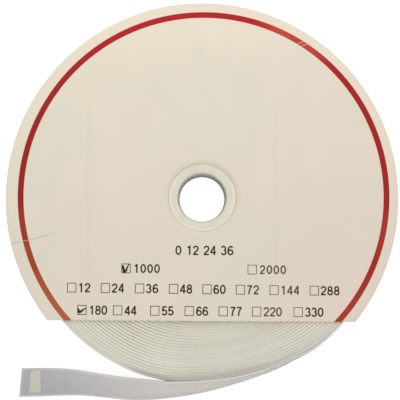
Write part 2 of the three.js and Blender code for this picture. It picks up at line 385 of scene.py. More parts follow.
def web_material(name, pale, deep, grey_and_shade, wound):
    """Woven nylon web. UV map weave: u is mm along the tape, v is mm across it.
    It has painted shade in the outer wraps below the bore and on the free end close to the table; the other slack outer
    wraps have greyer selvedges."""
    g = Graph(name, roughness=0.82, specular=0.25)
    g.bsdf.inputs["Sheen Weight"].default_value = 0.15
    x, y, z = g.xyz(g.mm())
    uv = g.uv("weave")
    u, v, _ = g.xyz(uv)
    pick = g.math("SINE", g.mul(u, 2 * math.pi / 0.72))
    warp = g.math("SINE", g.mul(v, 2 * math.pi / 0.62))
    plain = g.mul(pick, warp)
    slub = g.noise(g.scaled(uv, (0.10, 0.35, 1.0)), 1.0, 2.0, 0.5)
    turn = g.white(g.math("FLOOR", g.mul(u, 1.0 / 380.0)))
    edge = g.math("MAXIMUM", g.smooth(v, 1.9, 1.3), g.smooth(v, 18.1, 18.7))
    inside = g.sub(1.0, edge)
    colour = g.mix(edge, deep, pale)
    if wound:
        r = g.math("SQRT", g.add(g.mul(x, x), g.mul(y, y)))
        deg = g.mul(g.math("ARCTAN2", y, x), 180 / math.pi)
        colour = g.mix(g.smooth(r, 114.0, 88.0, 0.0, 0.5), colour, srgb(224, 221, 199))
        below = g.mul(g.smooth(deg, -50.0, -74.0), g.smooth(deg, -108.0, -91.0))
        right = g.mul(g.smooth(deg, -66.0, -58.0), g.smooth(deg, -40.0, -60.0))
        slack = g.mul(g.mul(edge, g.smooth(r, 113.0, 123.0)), g.add(0.2, g.mul(right, 0.3)))
        colour = g.mix(g.mul(g.sub(1.0, below), slack), colour, grey_and_shade)
        # painted shade on the wraps below the bore, deepest in the outer wraps where the free end leaves
        colour = g.mix(g.mul(below, g.math("MAXIMUM", g.smooth(r, 88.0, 99.0, 0.0, 0.22), g.smooth(g.add(r, g.mul(g.smooth(deg, -102.0, -82.0, -0.8, 1.3), g.smooth(deg, -65.0, -77.0))), 112.0, 122.5, 0.0, 0.86))), colour, srgb(186, 182, 177))
        # painted shadow of the card's cut edge on the wraps
        chord_shadow = g.mul(g.mul(g.smooth(y, -91.5, -83.0), g.smooth(y, -70.0, -80.0)), g.mul(g.smooth(x, -42.0, -14.0), g.smooth(x, 64.0, 34.0)))
        colour = g.mix(g.mul(g.mul(chord_shadow, edge), 0.32), colour, srgb(186, 182, 168))
        # the last wraps are darker where the free end leaves them
        last = g.mul(g.smooth(deg, -90.0, -99.0), g.smooth(deg, -119.0, -105.0))
        colour = g.mix(g.mul(last, g.smooth(r, 119.4, 123.2, 0.0, 0.9)), colour, srgb(186, 180, 174))
    else:
        # the selvedge starts as yellowed as those of the wraps that it lay among
        colour = g.mix(g.mul(edge, g.smooth(u, 46.0, 2.0)), colour, srgb(234, 231, 216))
        # painted shade on the free end close to the table and towards its cut end
        colour = g.mix(end_shade(g, x, y, z), colour, grey_and_shade)
    tone = g.add(0.955, g.mul(g.mul(plain, inside), 0.03))
    tone = g.add(tone, g.mul(slub, 0.05))
    tone = g.add(tone, g.mul(g.sub(turn, 0.5), 0.035))
    if not wound:
        tone = g.sub(tone, g.mul(end_edge_darkening(g, x, y), inside))
    colour = g.shade(colour, tone)
    cloth = g.mul(g.add(plain, g.mul(pick, 0.5)), inside)
    return g.done(colour, g.bump(cloth, 0.05, 0.6))


def hook_material(name, base, tip, grey_and_shade, free):
    """Nylon hooks, with a greyer base and tip for the painted shade on those close to the table, and towards the cut
    end.
    """
    g = Graph(name, roughness=0.45, specular=0.4)
    p = g.mm()
    x, y, z = g.xyz(p)
    patch = g.noise(p, 0.09, 2.0, 0.5)
    fleck = g.noise(p, 1.4, 1.0, 0.5)
    fleck = g.smooth(fleck, 0.3, 0.7)
    colour = g.mix(fleck, base, tip)
    # painted shade close to the table, and on the free end also towards its cut end
    colour = g.mix(end_shade(g, x, y, z) if free else g.smooth(z, *NEAR_TABLE, 0.0, 0.40), colour, g.mix(fleck, *grey_and_shade))
    tone = g.add(0.95, g.mul(patch, 0.10))
    if free:
        tone = g.sub(tone, end_edge_darkening(g, x, y))
    colour = g.shade(colour, tone)
    return g.done(colour)


def tab_material():
    g = Graph("tab_paper", roughness=0.85, specular=0.2)
    p = g.mm()
    cloud = g.noise(p, 0.35, 3.0, 0.55)
    fibre = g.noise(g.scaled(p, (1.0, 2.5, 1.0)), 2.4, 3.0, 0.6)
    colour = g.mix(g.smooth(cloud, 0.3, 0.7), srgb(212, 210, 197), srgb(203, 201, 188))
    colour = g.shade(colour, g.add(0.96, g.mul(fibre, 0.08)))
    return g.done(colour, g.bump(fibre, 0.03, 0.5))


def foam_material():
    g = Graph("pad_foam", roughness=0.95, specular=0.1)
    p = g.mm()
    cell = g.noise(p, 2.2, 3.0, 0.7)
    colour = g.mix(g.smooth(cell, 0.35, 0.65), srgb(226, 222, 210), srgb(238, 235, 226))
    return g.done(colour, g.bump(cell, 0.15, 0.8))


front_paper = card_material("printed_card", True)
rear_paper = card_material("plain_card", False)
ink = ink_material()
ivory = plastic_material("ivory_plastic")
drum_ivory = plastic_material("drum_plastic", 0.97)
pack_web = web_material("wound_web", srgb(234, 231, 216), srgb(242, 239, 234), srgb(197, 195, 191), True)
end_web = web_material("end_web", srgb(248, 245, 240), srgb(242, 239, 234), srgb(204, 203, 208), False)
end_nylon = hook_material("end_nylon", srgb(247, 244, 240), srgb(252, 250, 247), (srgb(208, 207, 212), srgb(222, 221, 226)), True)
pack_nylon = hook_material("pack_nylon", srgb(247, 244, 240), srgb(252, 250, 247), (srgb(208, 207, 212), srgb(222, 221, 226)), False)
tab_cream = tab_material()
foam = foam_material()


# ---------------------------------------------------------------- mesh helpers

def piece(name, verts, faces, material, smooth=True, sharp=None):
    """A mesh object from points in mm."""
    me = bpy.data.meshes.new(name)
    me.from_pydata((np.asarray(verts, float) * MM).tolist(), [], [list(map(int, f)) for f in faces])
    me.polygons.foreach_set("use_smooth", [smooth] * len(me.polygons))
    me.materials.append(material)
    me.update()
    me.validate()
    if sharp is not None:
        me.set_sharp_from_angle(angle=math.radians(sharp))
    o = bpy.data.objects.new(name, me)
    bpy.context.scene.collection.objects.link(o)
    return o


def add_uv(o, name, per_loop):
    layer = o.data.uv_layers.new(name=name)
    layer.data.foreach_set("uv", np.asarray(per_loop, np.float32).ravel())


def smoothstep(x, a, b):
    t = np.clip((np.asarray(x, float) - a) / (b - a), 0, 1)
    return t * t * (3 - 2 * t)


def spline(knots, points, at):
    """Natural cubic spline through points."""
    k, p, at = np.asarray(knots, float), np.asarray(points, float), np.asarray(at, float)
    n, h = len(k), np.diff(k)
    a = np.zeros((n, n))
    rhs = np.zeros((n, p.shape[1]))
    a[0, 0] = a[-1, -1] = 1
    for i in range(1, n - 1):
        a[i, i - 1], a[i, i], a[i, i + 1] = h[i - 1], 2 * (h[i - 1] + h[i]), h[i]
        rhs[i] = 6 * ((p[i + 1] - p[i]) / h[i] - (p[i] - p[i - 1]) / h[i - 1])
    m = np.linalg.solve(a, rhs)
    i = np.clip(np.searchsorted(k, at, side="right") - 1, 0, n - 2)
    t0, t1, hi = (k[i + 1] - at)[:, None], (at - k[i])[:, None], h[i][:, None]
    return (m[i] * t0 ** 3 + m[i + 1] * t1 ** 3) / (6 * hi) + (p[i] / hi - m[i] * hi / 6) * t0 + (p[i + 1] / hi - m[i + 1] * hi / 6) * t1


def ribbon_faces(n, m, caps=True):
    """Quads of a closed section of m points swept over n stations."""
    i, j = np.meshgrid(np.arange(n - 1), np.arange(m), indexing="ij")
    j2 = (j + 1) % m
    f = np.stack([i * m + j, i * m + j2, (i + 1) * m + j2, (i + 1) * m + j], -1).reshape(-1, 4).tolist()
    if caps:
        f.append(list(range(m - 1, -1, -1)))
        f.append([(n - 1) * m + q for q in range(m)])
    return f


# ---------------------------------------------------------------- cards

def warp(x, y):
    """How far the front card bows out of its plane."""
    r = np.hypot(x, y)
    a = np.arctan2(y, x)
    w = 0.07 * np.sin(x / 48 + 0.6) * np.cos(y / 60 - 0.4) + 0.08 * smoothstep(r, 95, 131) * np.sin(2 * a + 0.8)
    w = w + 0.16 * smoothstep(-y, 62, 82) + 0.04
    return w * smoothstep(r, 30, 62)


def dish(r, snug=0.0):
    """Depth of the dish that the collar pulls into a card: steep beside its lip, then easing out.
    Where snug is 1 the card lies level with the lip instead."""
    t = np.maximum(np.asarray(r, float) - LIP_R, 0)
    steep, ease = 0.15 * np.exp(-t / 0.35), 0.58 * np.exp(-(t / 1.5) ** 1.4)
    under = (0.27 + 0.45 * snug) * (1 - smoothstep(t, 0.0, 0.02))
    return DISH * ((steep + ease) * (1 - snug) + 0.28 * snug * np.exp(-(t / 0.7) ** 1.3) + under)


def card_top(x, y):
    r = np.hypot(x, y)
    return HEIGHT - dish(r, smoothstep(-np.asarray(y, float) / np.maximum(r, 1.0), 0.45, 0.85)) + warp(x, y)


def card_mesh(name, front, material):
    corner = math.degrees(math.asin(-CHORD_Y / CARD_R))
    angles = np.linspace(0, 360, 300, endpoint=False)
    if front:
        angles = np.unique(np.round(np.concatenate([angles, [180 + corner, 360 - corner, 180 + corner - 0.06, 180 + corner + 0.06, 360 - corner - 0.06, 360 - corner + 0.06]]), 6))
    t = np.radians(angles)
    n = len(t)
    reach = np.full(n, CARD_R)
    if front:
        s = np.sin(t)
        low = s < -1e-3
        reach[low] = np.minimum(CARD_R, CHORD_Y / s[low])
    # hand-cut wobble on the rim
    reach = reach - (0.05 + 0.05 * np.sin(t * 9 + 1.0) * np.sin(t * 4 + 0.3)) * (reach > CARD_R - 0.01)
    inner = [CARD_BORE_R + 0.08, 19.6, 20.8, 22.0, 22.5, 22.58, 22.66, 22.76, 22.9, 23.1, 23.35, 23.65, 24.0, 24.4, 24.8, 25.3, 26.0, 27.5, 31.0, 35.0]
    rings = []
    bevel = 0.14
    for r in inner:
        rings.append(np.full(n, r))
    for q in np.linspace(0, 1, 24)[1:]:
        rings.append(35.0 + (reach - bevel - 35.0) * q)
    top = [(r, 0.0) for r in rings]
    section = top + [(reach - 0.03, -0.05), (reach, -bevel), (reach, -(CARD_T - bevel)), (reach - 0.03, -(CARD_T - 0.05))]
    section += [(r, -CARD_T) for r in rings[::-1]]
    section += [(np.full(n, CARD_BORE_R), -(CARD_T - 0.1)), (np.full(n, CARD_BORE_R), -0.1)]
    m = len(section)
    verts = np.zeros((n, m, 3))
    for k, (r, dz) in enumerate(section):
        x, y = r * np.cos(t), r * np.sin(t)
        if front:
            z = card_top(x, y) + dz
        else:
            w = 0.05 * np.sin(x / 44 - 0.9) * np.sin(y / 52 + 0.5) * smoothstep(r, 30, 62)
            z = dish(r) + np.abs(w) - dz
        verts[:, k] = np.stack([x, y, z], -1)
    i, k = np.meshgrid(np.arange(n), np.arange(m), indexing="ij")
    i2, k2 = (i + 1) % n, (k + 1) % m
    quads = np.stack([i * m + k, i2 * m + k, i2 * m + k2, i * m + k2], -1).reshape(-1, 4)
    if front:
        quads = quads[:, ::-1]
    return piece(name, verts.reshape(-1, 3), quads, material, sharp=50)


front_card = card_mesh("front_card_board", True, front_paper)
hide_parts("front_card")
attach(front_card, "front_flange")

rear_card = card_mesh("rear_card_board", False, rear_paper)
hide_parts("rear_card")
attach(rear_card, "rear_flange")


# ---------------------------------------------------------------- printing on the front card

def arc(cx, cy, rx, ry, a0, a1, n=22):
    t = np.radians(np.linspace(a0, a1, n))
    return np.stack([cx + rx * np.cos(t), cy + ry * np.sin(t)], -1)


def through(*points, n=18):
    p = np.asarray(points, float)
    k = np.concatenate([[0], np.cumsum(np.linalg.norm(np.diff(p, axis=0), axis=1))])
    return spline(k, p, np.linspace(0, k[-1], n))


def ellipse(cx, cy, rx, ry, n=32):
    return arc(cx, cy, rx, ry, 0, 360, n + 1)[:-1]


# plain digits as centre lines, one unit high and 0.62 wide: (points, closed)
SIX = [(ellipse(0.315, 0.31, 0.24, 0.245), True), (through((0.53, 0.76), (0.46, 0.885), (0.335, 0.93), (0.20, 0.86), (0.11, 0.69), (0.073, 0.47), (0.075, 0.31)), False)]
DIGITS = {
    "0": [(ellipse(0.31, 0.5, 0.243, 0.432), True)],
    "1": [(np.array([(0.375, 0.0), (0.375, 1.0)]), False), (through((0.375, 0.96), (0.28, 0.84), (0.14, 0.75)), False)],
    "2": [(np.concatenate([arc(0.31, 0.69, 0.235, 0.242, 178, -38, 18), through((0.40, 0.43), (0.20, 0.24), (0.09, 0.07), n=7)]), False), (np.array([(0.03, 0.065), (0.57, 0.065)]), False)],
    "3": [(arc(0.295, 0.715, 0.205, 0.218, 165, -82), False), (arc(0.295, 0.29, 0.242, 0.226, 82, -165), False)],
    "4": [(np.array([(0.445, 0.0), (0.445, 1.0)]), False), (np.array([(0.43, 0.95), (0.06, 0.30)]), False), (np.array([(0.01, 0.275), (0.61, 0.275)]), False)],
    "5": [(np.array([(0.55, 0.93), (0.14, 0.93)]), False), (np.array([(0.165, 0.96), (0.095, 0.45)]), False), (arc(0.305, 0.315, 0.243, 0.25, 150, -160), False)],
    "6": SIX,
    "7": [(np.array([(0.04, 0.93), (0.58, 0.93)]), False), (through((0.55, 0.92), (0.39, 0.68), (0.28, 0.38), (0.235, 0.0)), False)],
    "8": [(ellipse(0.31, 0.725, 0.195, 0.21), True), (ellipse(0.31, 0.285, 0.24, 0.222), True)],
    "9": [(np.array([0.62, 1.0]) - p_, c_) for p_, c_ in SIX],
}


class Print:
    def __init__(self):
        self.v, self.f = [], []

    def polygons(self, v, f):
        base = len(self.v)
        self.v += [tuple(q) for q in v]
        self.f += [[base + i for i in q] for q in f]

    def box(self, x, y, w, h, line):
        o = [(-w / 2, -h / 2), (w / 2, -h / 2), (w / 2, h / 2), (-w / 2, h / 2)]
        i = [(-w / 2 + line, -h / 2 + line), (w / 2 - line, -h / 2 + line), (w / 2 - line, h / 2 - line), (-w / 2 + line, h / 2 - line)]
        v = [(x + a, y + b) for a, b in o + i]
        self.polygons(v, [[k, (k + 1) % 4, 4 + (k + 1) % 4, 4 + k] for k in range(4)])

    def number(self, text, x, y, cap, step, line, space=0.8):
        """Left edge at x, middle height at y; step is the pitch of the digits."""
        for ch in text:
            if ch == " ":
                x += step * space
                continue
            for points, closed in DIGITS[ch]:
                self.stroke(points * cap + np.array([x, y - cap / 2]), np.full(len(points), line), closed)
            x += step

    def stroke(self, points, widths, closed=False):
        p = np.asarray(points, float)
        d = np.roll(p, -1, 0) - np.roll(p, 1, 0) if closed else np.gradient(p, axis=0)
        d /= np.linalg.norm(d, axis=1)[:, None]
        nrm = np.stack([-d[:, 1], d[:, 0]], -1)
        w = np.asarray(widths, float)[:, None] / 2
        n = len(p)
        self.polygons(np.concatenate([p + nrm * w, p - nrm * w]), [[k, n + k, n + (k + 1) % n, (k + 1) % n] for k in range(n if closed else n - 1)])

    def solid(self, name, material, thick=0.05, sunk=0.012):
        bm = bmesh.new()
        vs = [bm.verts.new((x, y, 0)) for x, y in self.v]
        for f in self.f:
            try:
                bm.faces.new([vs[i] for i in f])
            except ValueError:
                pass
        bmesh.ops.remove_doubles(bm, verts=bm.verts, dist=1e-4)
        bmesh.ops.dissolve_degenerate(bm, edges=bm.edges, dist=1e-5)
        up = bmesh.ops.extrude_face_region(bm, geom=list(bm.faces))
        for v in [q for q in up["geom"] if isinstance(q, bmesh.types.BMVert)]:
            v.co.z = thick
        for v in bm.verts:
            v.co.z += card_top(v.co.x, v.co.y) - sunk
            v.co *= MM
        bmesh.ops.recalc_face_normals(bm, faces=bm.faces)
        me = bpy.data.meshes.new(name)
        bm.to_mesh(me)
        bm.free()
        me.materials.append(material)
        o = bpy.data.objects.new(name, me)
        bpy.context.scene.collection.objects.link(o)
        return o


def tick(print_, x, y, size, points):
    """A pen mark in a box: heavy at the turn, thin where the pen leaves."""
    p = through(*points, n=25)
    w = np.interp(np.linspace(0, 1, 25), [0, 0.2, 0.42, 0.7, 1.0], [0.14, 0.25, 0.24, 0.18, 0.09])
    print_.stroke(p * size + np.array([x, y]), w * size)


marks = Print()
BOX, LINE, STROKE = (6.1, 6.4), 0.46, 1.0
# height and slope of the row, box middles, numbers beside them, how far right they start, digit height and pitch
rows = [
    (-47.55, -0.003, [-50.3, 33.6], ["1000", "2000"], 5.0, 5.8, 4.6),
    (-60.9, -0.006, [-86.3, -63.9, -41.2, -18.6, 3.6, 25.8, 48.2, 74.9], ["12", "24", "36", "48", "60", "72", "144", "288"], 4.25, 6.0, 4.4),
    (-75.4, -0.003, [-79.3, -55.6, -31.0, -8.1, 14.4, 36.6, 64.2], ["180", "44", "55", "66", "77", "220", "330"], 4.6, 6.0, 4.2),
]
for ry, slope, xs, words, start, cap, step in rows:
    for bx, word in zip(xs, words):
        marks.box(bx, ry + slope * bx, *BOX, LINE)
        marks.number(word, bx + start, ry + slope * bx, cap, step, STROKE)
marks.number("0 12 24 36", -17.5, -35.1, 6.2, 4.4, STROKE, 0.62)
tick(marks, -50.3, -47.4, 6.4, [(-0.36, 0.34), (-0.26, -0.06), (-0.15, -0.40), (-0.05, -0.30), (0.10, 0.05), (0.32, 0.46)])
tick(marks, -79.3, -75.15, 6.4, [(-0.40, 0.18), (-0.34, -0.06), (-0.25, -0.24), (-0.14, -0.18), (0.12, 0.02), (0.44, 0.20)])
card_print = marks.solid("card_print", ink)
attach(card_print, "front_flange")


# ---------------------------------------------------------------- collars

COLLAR = [
    (16.0, 10.95), (16.0, 6.0), (16.02, 3.4), (16.1, 2.2), (16.22, 1.4), (16.36, 0.9), (16.52, 0.55), (16.72, 0.32), (17.0, 0.18), (17.4, 0.10), (18.2, 0.05),
    (19.3, 0.06), (20.4, 0.10), (21.2, 0.16), (21.8, 0.24), (22.2, 0.36), (22.42, 0.50), (22.5, 0.68), (22.44, 0.84), (22.25, 0.92), (21.6, 0.92),
    (18.5, 0.92), (18.5, 7.6), (18.85, 7.85), (19.1, 8.12), (19.2, 8.5), (19.15, 8.8), (18.9, 9.3), (18.5, 10.0), (18.2, 10.8), (18.0, 10.95),
]


def lathe(name, profile, segments, material, sharp=40):
    n, m = segments, len(profile)
    t = np.linspace(0, 2 * np.pi, n, endpoint=False)
    pr = np.asarray(profile, float)
    verts = np.stack([np.cos(t)[:, None] * pr[None, :, 0], np.sin(t)[:, None] * pr[None, :, 0], np.broadcast_to(pr[None, :, 1], (n, m))], -1)
    i, k = np.meshgrid(np.arange(n), np.arange(m), indexing="ij")
    i2, k2 = (i + 1) % n, (k + 1) % m
    quads = np.stack([i * m + k, i2 * m + k, i2 * m + k2, i * m + k2], -1).reshape(-1, 4)
    area = np.sum(pr[:, 0] * np.roll(pr[:, 1], -1) - np.roll(pr[:, 0], -1) * pr[:, 1])
    if area < 0:
        quads = quads[:, ::-1]
    return piece(name, verts.reshape(-1, 3), quads, material, sharp=sharp)


REAR_BORE = [(16.0, 10.95), (16.0, 6.0), (16.0, 3.0), (16.0, 1.2), (16.04, 0.6), (16.14, 0.34), (16.32, 0.18), (16.6, 0.10), (17.0, 0.07), (17.5, 0.05)]
front_collar = lathe("front_collar_bush", [(r, HEIGHT - z) for r, z in COLLAR], 160, ivory)
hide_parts("front_collar")
rear_collar = lathe("rear_collar_bush", REAR_BORE + COLLAR[10:], 160, ivory)
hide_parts("rear_collar")
for o in (front_collar, rear_collar):
    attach(o, "spool")

for node, material in (("core_drum", drum_ivory), ("start_pad", foam)):
    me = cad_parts[node].data
    me.materials.clear()
    me.materials.append(material)


# ---------------------------------------------------------------- wound tape

# how far the outer wraps stand in or out of a true circle, by angle
BULGE = np.array([
    (-22, 0.0), (-29, 0.8), (-36, 2.0), (-42, 2.45), (-48, 2.4), (-54, 1.9), (-61, 0.4), (-66, -0.3), (-71, -0.7), (-76, -1.0), (-84, -1.0), (-90, -0.4),
    (-95, 0.6), (-100, 1.9), (-105, 2.6), (-112, 2.7), (-120, 2.6), (-136, 2.3), (-155, 1.5), (-180, 0.7), (-210, 0.2), (-240, 0.0), (-382, 0.0),
])
grid = np.arange(-382, -21.5, 1.0)
bulge_table = np.interp(grid, BULGE[::-1, 0], BULGE[::-1, 1])
kernel = np.exp(-0.5 * (np.arange(-9, 10) / 3.0) ** 2)
bulge_table = np.convolve(np.pad(bulge_table, 9, mode="edge"), kernel / kernel.sum(), mode="valid")


def bulge(deg):
    return np.interp((np.asarray(deg) - END_DEG) % 360 - 360 + END_DEG, grid, bulge_table)


phase = rng.uniform(0, 2 * np.pi, 8)
turn_lift = rng.normal(0, 0.085, int(TURNS) + 4)
turn_push = rng.normal(0, 0.035, int(TURNS) + 4)


def level(deg, r):
    """1 where the wraps below the bore are pressed level with each other."""
    around_ = (np.asarray(deg) + 180) % 360 - 180
    return smoothstep(np.abs(around_ + 91), 34, 8) * smoothstep(r, 89, 98) * (1 - smoothstep(r, 108, 115))


def spiral(turn):
    """Angle in degrees, radius, height shift and outer share of the tape's middle line, turns from the drum."""
    turn = np.asarray(turn, float)
    deg = END_DEG + 360 * (TURNS - turn)
    settle = smoothstep(TURNS - turn, 0.0, 0.12)
    lift = np.interp(turn, np.arange(len(turn_lift)), turn_lift) + 0.05 * np.sin(turn * 7.3 + phase[0]) + 0.04 * np.sin(turn * 17.9 + phase[1])
    push = np.interp(turn, np.arange(len(turn_push)), turn_push) + 0.03 * np.sin(turn * 5.1 + phase[2]) + 0.02 * np.sin(turn * 23.7 + phase[3])
    r = R_OUT - PITCH * (TURNS - turn) + push * settle
    return deg, r, np.clip(lift, -0.24, 0.22) * settle * (1 - 0.6 * level(deg, r)), smoothstep(r, 72, 121)


LEAN = 6.5                          # how far the slack wraps below the bore stand out at their rear edge


def wound_point(turn, v, w):
    """Point of the wound tape: v mm across from the rear edge, w mm out from the web's middle."""
    deg, r, lift, outer = spiral(turn)
    b = bulge(deg) * outer * (0.35 + 0.65 * v / TAPE_W)
    around_ = (deg + 180) % 360 - 180
    lean = LEAN * smoothstep(r, 109, 121) * smoothstep(-around_, 56, 76) * (1 - smoothstep(-around_, 98, 120))
    t = np.radians(deg)
    rr = r + b + w + lean * (1 - v / TAPE_W)
    sunk = (TAPE_W - np.sqrt(TAPE_W ** 2 - lean ** 2)) * v / TAPE_W
    return np.stack([rr * np.cos(t), rr * np.sin(t), PACK_Z0 + v + lift - sunk], -1)


# wound web, its hooks pressed into one block against the next wrap
WOUND_IN, WOUND_OUT, BLOCK = -0.66, 0.66, 1.15
SECTION = np.array([
    (0.22, WOUND_IN), (0.02, -0.36), (0.0, 0.20), (0.22, WOUND_OUT), (0.95, WOUND_OUT), (1.10, BLOCK),
    (18.90, BLOCK), (19.05, WOUND_OUT), (19.78, WOUND_OUT), (20.0, 0.20), (19.98, -0.36), (19.78, WOUND_IN),
])
STEPS = 128
turns = np.arange(0, int(round(TURNS * STEPS)) + 1) / STEPS
turns = np.concatenate([turns[turns < TURNS - 1e-6], [TURNS - 0.00003]])
n_st, n_sec = len(turns), len(SECTION)
verts = np.zeros((n_st, n_sec, 3))
FREE_FROM = 0.81                                                  # the outermost wrap's hooks stand free from this share of a turn before its end
open_hooks = smoothstep(turns, TURNS - FREE_FROM - 0.02, TURNS - FREE_FROM)
thin = smoothstep(turns, TURNS - 0.10, TURNS - 0.02)              # down to the web of the free end
turn_deg = (END_DEG + 360 * (TURNS - turns) + 180) % 360 - 180
snug = np.maximum(smoothstep(np.abs(turn_deg + 84), 44, 16), 0.85 * smoothstep(R_OUT - PITCH * (TURNS - turns), 106, 116))   # wraps lie tightest below the bore and at the outside
pressed = level(turn_deg, R_OUT - PITCH * (TURNS - turns))
FLUSH = {6: 0.25, 7: 0.14, 8: 0.16, 11: 0.13}                     # how much higher these corners are where the wraps are pressed level
for k, (v, w) in enumerate(SECTION):
    top_block = (0.74 * snug if k in (6, 7) else 0.0) + FLUSH.get(k, 0.0) * pressed
    wk = np.full(n_st, w)
    if w == BLOCK:
        wk = w + (WOUND_OUT - w) * open_hooks
    if w == WOUND_IN:
        wk = w + (WEB_IN - w) * thin
    elif w > 0.5:
        wk = wk + (WEB_OUT - WOUND_OUT) * thin
    verts[:, k] = wound_point(turns, v + top_block, wk)
wound = piece("wound_tape", verts.reshape(-1, 3), ribbon_faces(n_st, n_sec), pack_web, sharp=55)
run = np.concatenate([[0], np.cumsum(np.linalg.norm(np.diff(verts.mean(1), axis=0), axis=1))])
around = np.concatenate([[0], np.cumsum(np.linalg.norm(np.diff(np.vstack([SECTION, SECTION[:1]]), axis=0), axis=1))])
# weave map: mm along and mm across
i, j = np.meshgrid(np.arange(n_st - 1), np.arange(n_sec), indexing="ij")
across = SECTION[:, 0]
corners = [(i, j), (i, (j + 1) % n_sec), (i + 1, (j + 1) % n_sec), (i + 1, j)]
weave = np.stack([np.stack([run[a], across[b]], -1) for a, b in corners], -2).reshape(-1, 2)
cap_uv = np.stack([np.zeros(n_sec), across], -1)
add_uv(wound, "weave", np.concatenate([weave, cap_uv, cap_uv + [run[-1], 0]]))
# one row of the bake map for each turn
rows_n = int(math.ceil(TURNS)) + 1
row = np.floor(turns[:-1] + 1e-9)
f = around / around[-1]
quad = []
for a, b in ((0, 0), (0, 1), (1, 1), (1, 0)):
    u = (turns[:-1] + 1e-9 - row + a / STEPS)[:, None] * 0.98 + 0.01 + 0 * f[None, :-1]
    v = (row[:, None] + 0.04 + 0.92 * (f[None, :-1] if b == 0 else f[None, 1:])) / rows_n
    quad.append(np.stack([u, v + 0 * u], -1))
bake = np.stack(quad, -2).reshape(-1, 2)
ring_uv = np.stack([0.01 + 0.008 * np.cos(np.arange(n_sec) * 2 * np.pi / n_sec), (rows_n - 0.5) / rows_n + 0.008 * np.sin(np.arange(n_sec) * 2 * np.pi / n_sec)], -1) + [0.01, 0]
add_uv(wound, "OFBake", np.concatenate([bake, ring_uv, ring_uv + [0.05, 0]]))
wound.data.uv_layers["weave"].active_render = True
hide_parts("tape_pack")
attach(wound, "spool")


# ---------------------------------------------------------------- free end of the tape

def polar(deg, r, z):
    return (r * math.cos(math.radians(deg)), r * math.sin(math.radians(deg)), z)


EDGES = [
    (polar(-4.0, 122.51, 1.1), polar(-4.0, 122.51, 21.1)),
    (polar(-13.0, 122.55, 1.1), polar(-13.0, 122.55, 21.1)),
    (polar(-22.0, 122.6, 1.1), polar(-22.0, 122.6, 21.1)),
    (polar(-36.0, 125.2, 1.2), polar(-36.0, 124.7, 21.0)),
    (polar(-42.0, 126.4, 1.25), polar(-42.0, 125.1, 20.9)),
    (polar(-47.7, 127.5, 1.3), polar(-47.7, 125.05, 20.8)),
    (polar(-54.0, 128.8, 1.35), polar(-54.0, 124.6, 20.5)),
    (polar(-60.9, 130.0, 1.4), polar(-60.9, 123.1, 20.0)),
    (polar(-70.9, 130.6, 1.4), polar(-70.9, 122.1, 19.3)),
    (polar(-80.6, 132.6, 1.0), polar(-80.6, 122.2, 18.0)),
    ((0.2, -136.8, 0.62), (-0.6, -123.4, 15.5)),
    ((-10.7, -138.95, 0.55), (-10.8, -124.4, 14.2)),
    ((-21.8, -140.6, 0.55), (-21.05, -125.0, 13.0)),
    ((-41.7, -142.35, 0.55), (-39.15, -124.8, 9.75)),
    ((-59.5, -141.65, 0.55), (-56.0, -123.5, 8.15)),
    ((-77.1, -139.8, 0.55), (-73.1, -121.5, 7.2)),
    ((-93.0, -139.3, 0.57), (-90.5, -119.95, 4.2)),
    ((-108.1, -139.95, 0.6), (-108.0, -120.0, 1.6)),
    ((-118.2, -140.3, 0.62), (-117.5, -120.3, 0.75)),
    ((-128.4, -140.5, 0.62), (-126.7, -120.6, 0.64)),
]
low, high = np.array([e[0] for e in EDGES]), np.array([e[1] for e in EDGES])
middle = (low + high) / 2
knots = np.concatenate([[0], np.cumsum(np.linalg.norm(np.diff(middle, axis=0), axis=1))])
START_S, END_S = knots[2] + 0.02, knots[-1]


class Strip:
    """The free end as a surface: s mm along it, v mm across from the low edge, w mm out of its hook face."""

    def __init__(self):
        self.s = np.linspace(START_S - 2, END_S, 1200)
        self.low, self.high = spline(knots, low, self.s), spline(knots, high, self.s)

    def edge(self, table, s):
        return np.stack([np.interp(s, self.s, table[:, k]) for k in range(3)], -1)

    def frame(self, s, v):
        s, v = np.broadcast_arrays(np.asarray(s, float), np.asarray(v, float))
        f = (v / TAPE_W)[..., None]
        at = lambda q: self.edge(self.low, q) * (1 - f) + self.edge(self.high, q) * f
        p = at(s)
        t = at(np.minimum(s + 0.8, END_S)) - at(np.maximum(s - 0.8, START_S - 2))
        t /= np.linalg.norm(t, axis=-1, keepdims=True)
        a = self.edge(self.high, s) - self.edge(self.low, s)
        a /= np.linalg.norm(a, axis=-1, keepdims=True)
        nrm = np.cross(a, t)
        nrm /= np.linalg.norm(nrm, axis=-1, keepdims=True)
        return p, t, a, nrm

    def point(self, s, v, w):
        p, t, a, nrm = self.frame(s, v)
        return p + nrm * np.asarray(w, float)[..., None]


strip = Strip()
FLAT = [
    (0.30, WEB_IN), (0.06, -0.34), (0.0, -0.05), (0.06, 0.24), (0.30, WEB_OUT), (1.6, WEB_OUT), (1.85, 0.36), (5.0, 0.36), (10.0, 0.36), (15.0, 0.36),
    (18.15, 0.36), (18.4, WEB_OUT), (19.7, WEB_OUT), (19.94, 0.24), (20.0, -0.05), (19.94, -0.34), (19.7, WEB_IN), (15.0, WEB_IN), (10.0, WEB_IN), (5.0, WEB_IN),
]
s_at = np.linspace(START_S, END_S, 720)
flat_v, flat_w = np.array([q[0] for q in FLAT]), np.array([q[1] for q in FLAT])
ss, vv = np.meshgrid(s_at, flat_v, indexing="ij")
ease = smoothstep(s_at, START_S, START_S + 14)[:, None]
wave = 0.05 * np.sin(ss * 0.37 + 0.4) * np.sin(vv * 0.3) * ease
scallop = 0.05 * np.sin(ss * 2 * np.pi / 2.5) * np.where(np.abs(vv - 10) > 9.5, np.sign(vv - 10), 0) * ease
verts = strip.point(ss, vv + scallop, flat_w[None, :] + wave)
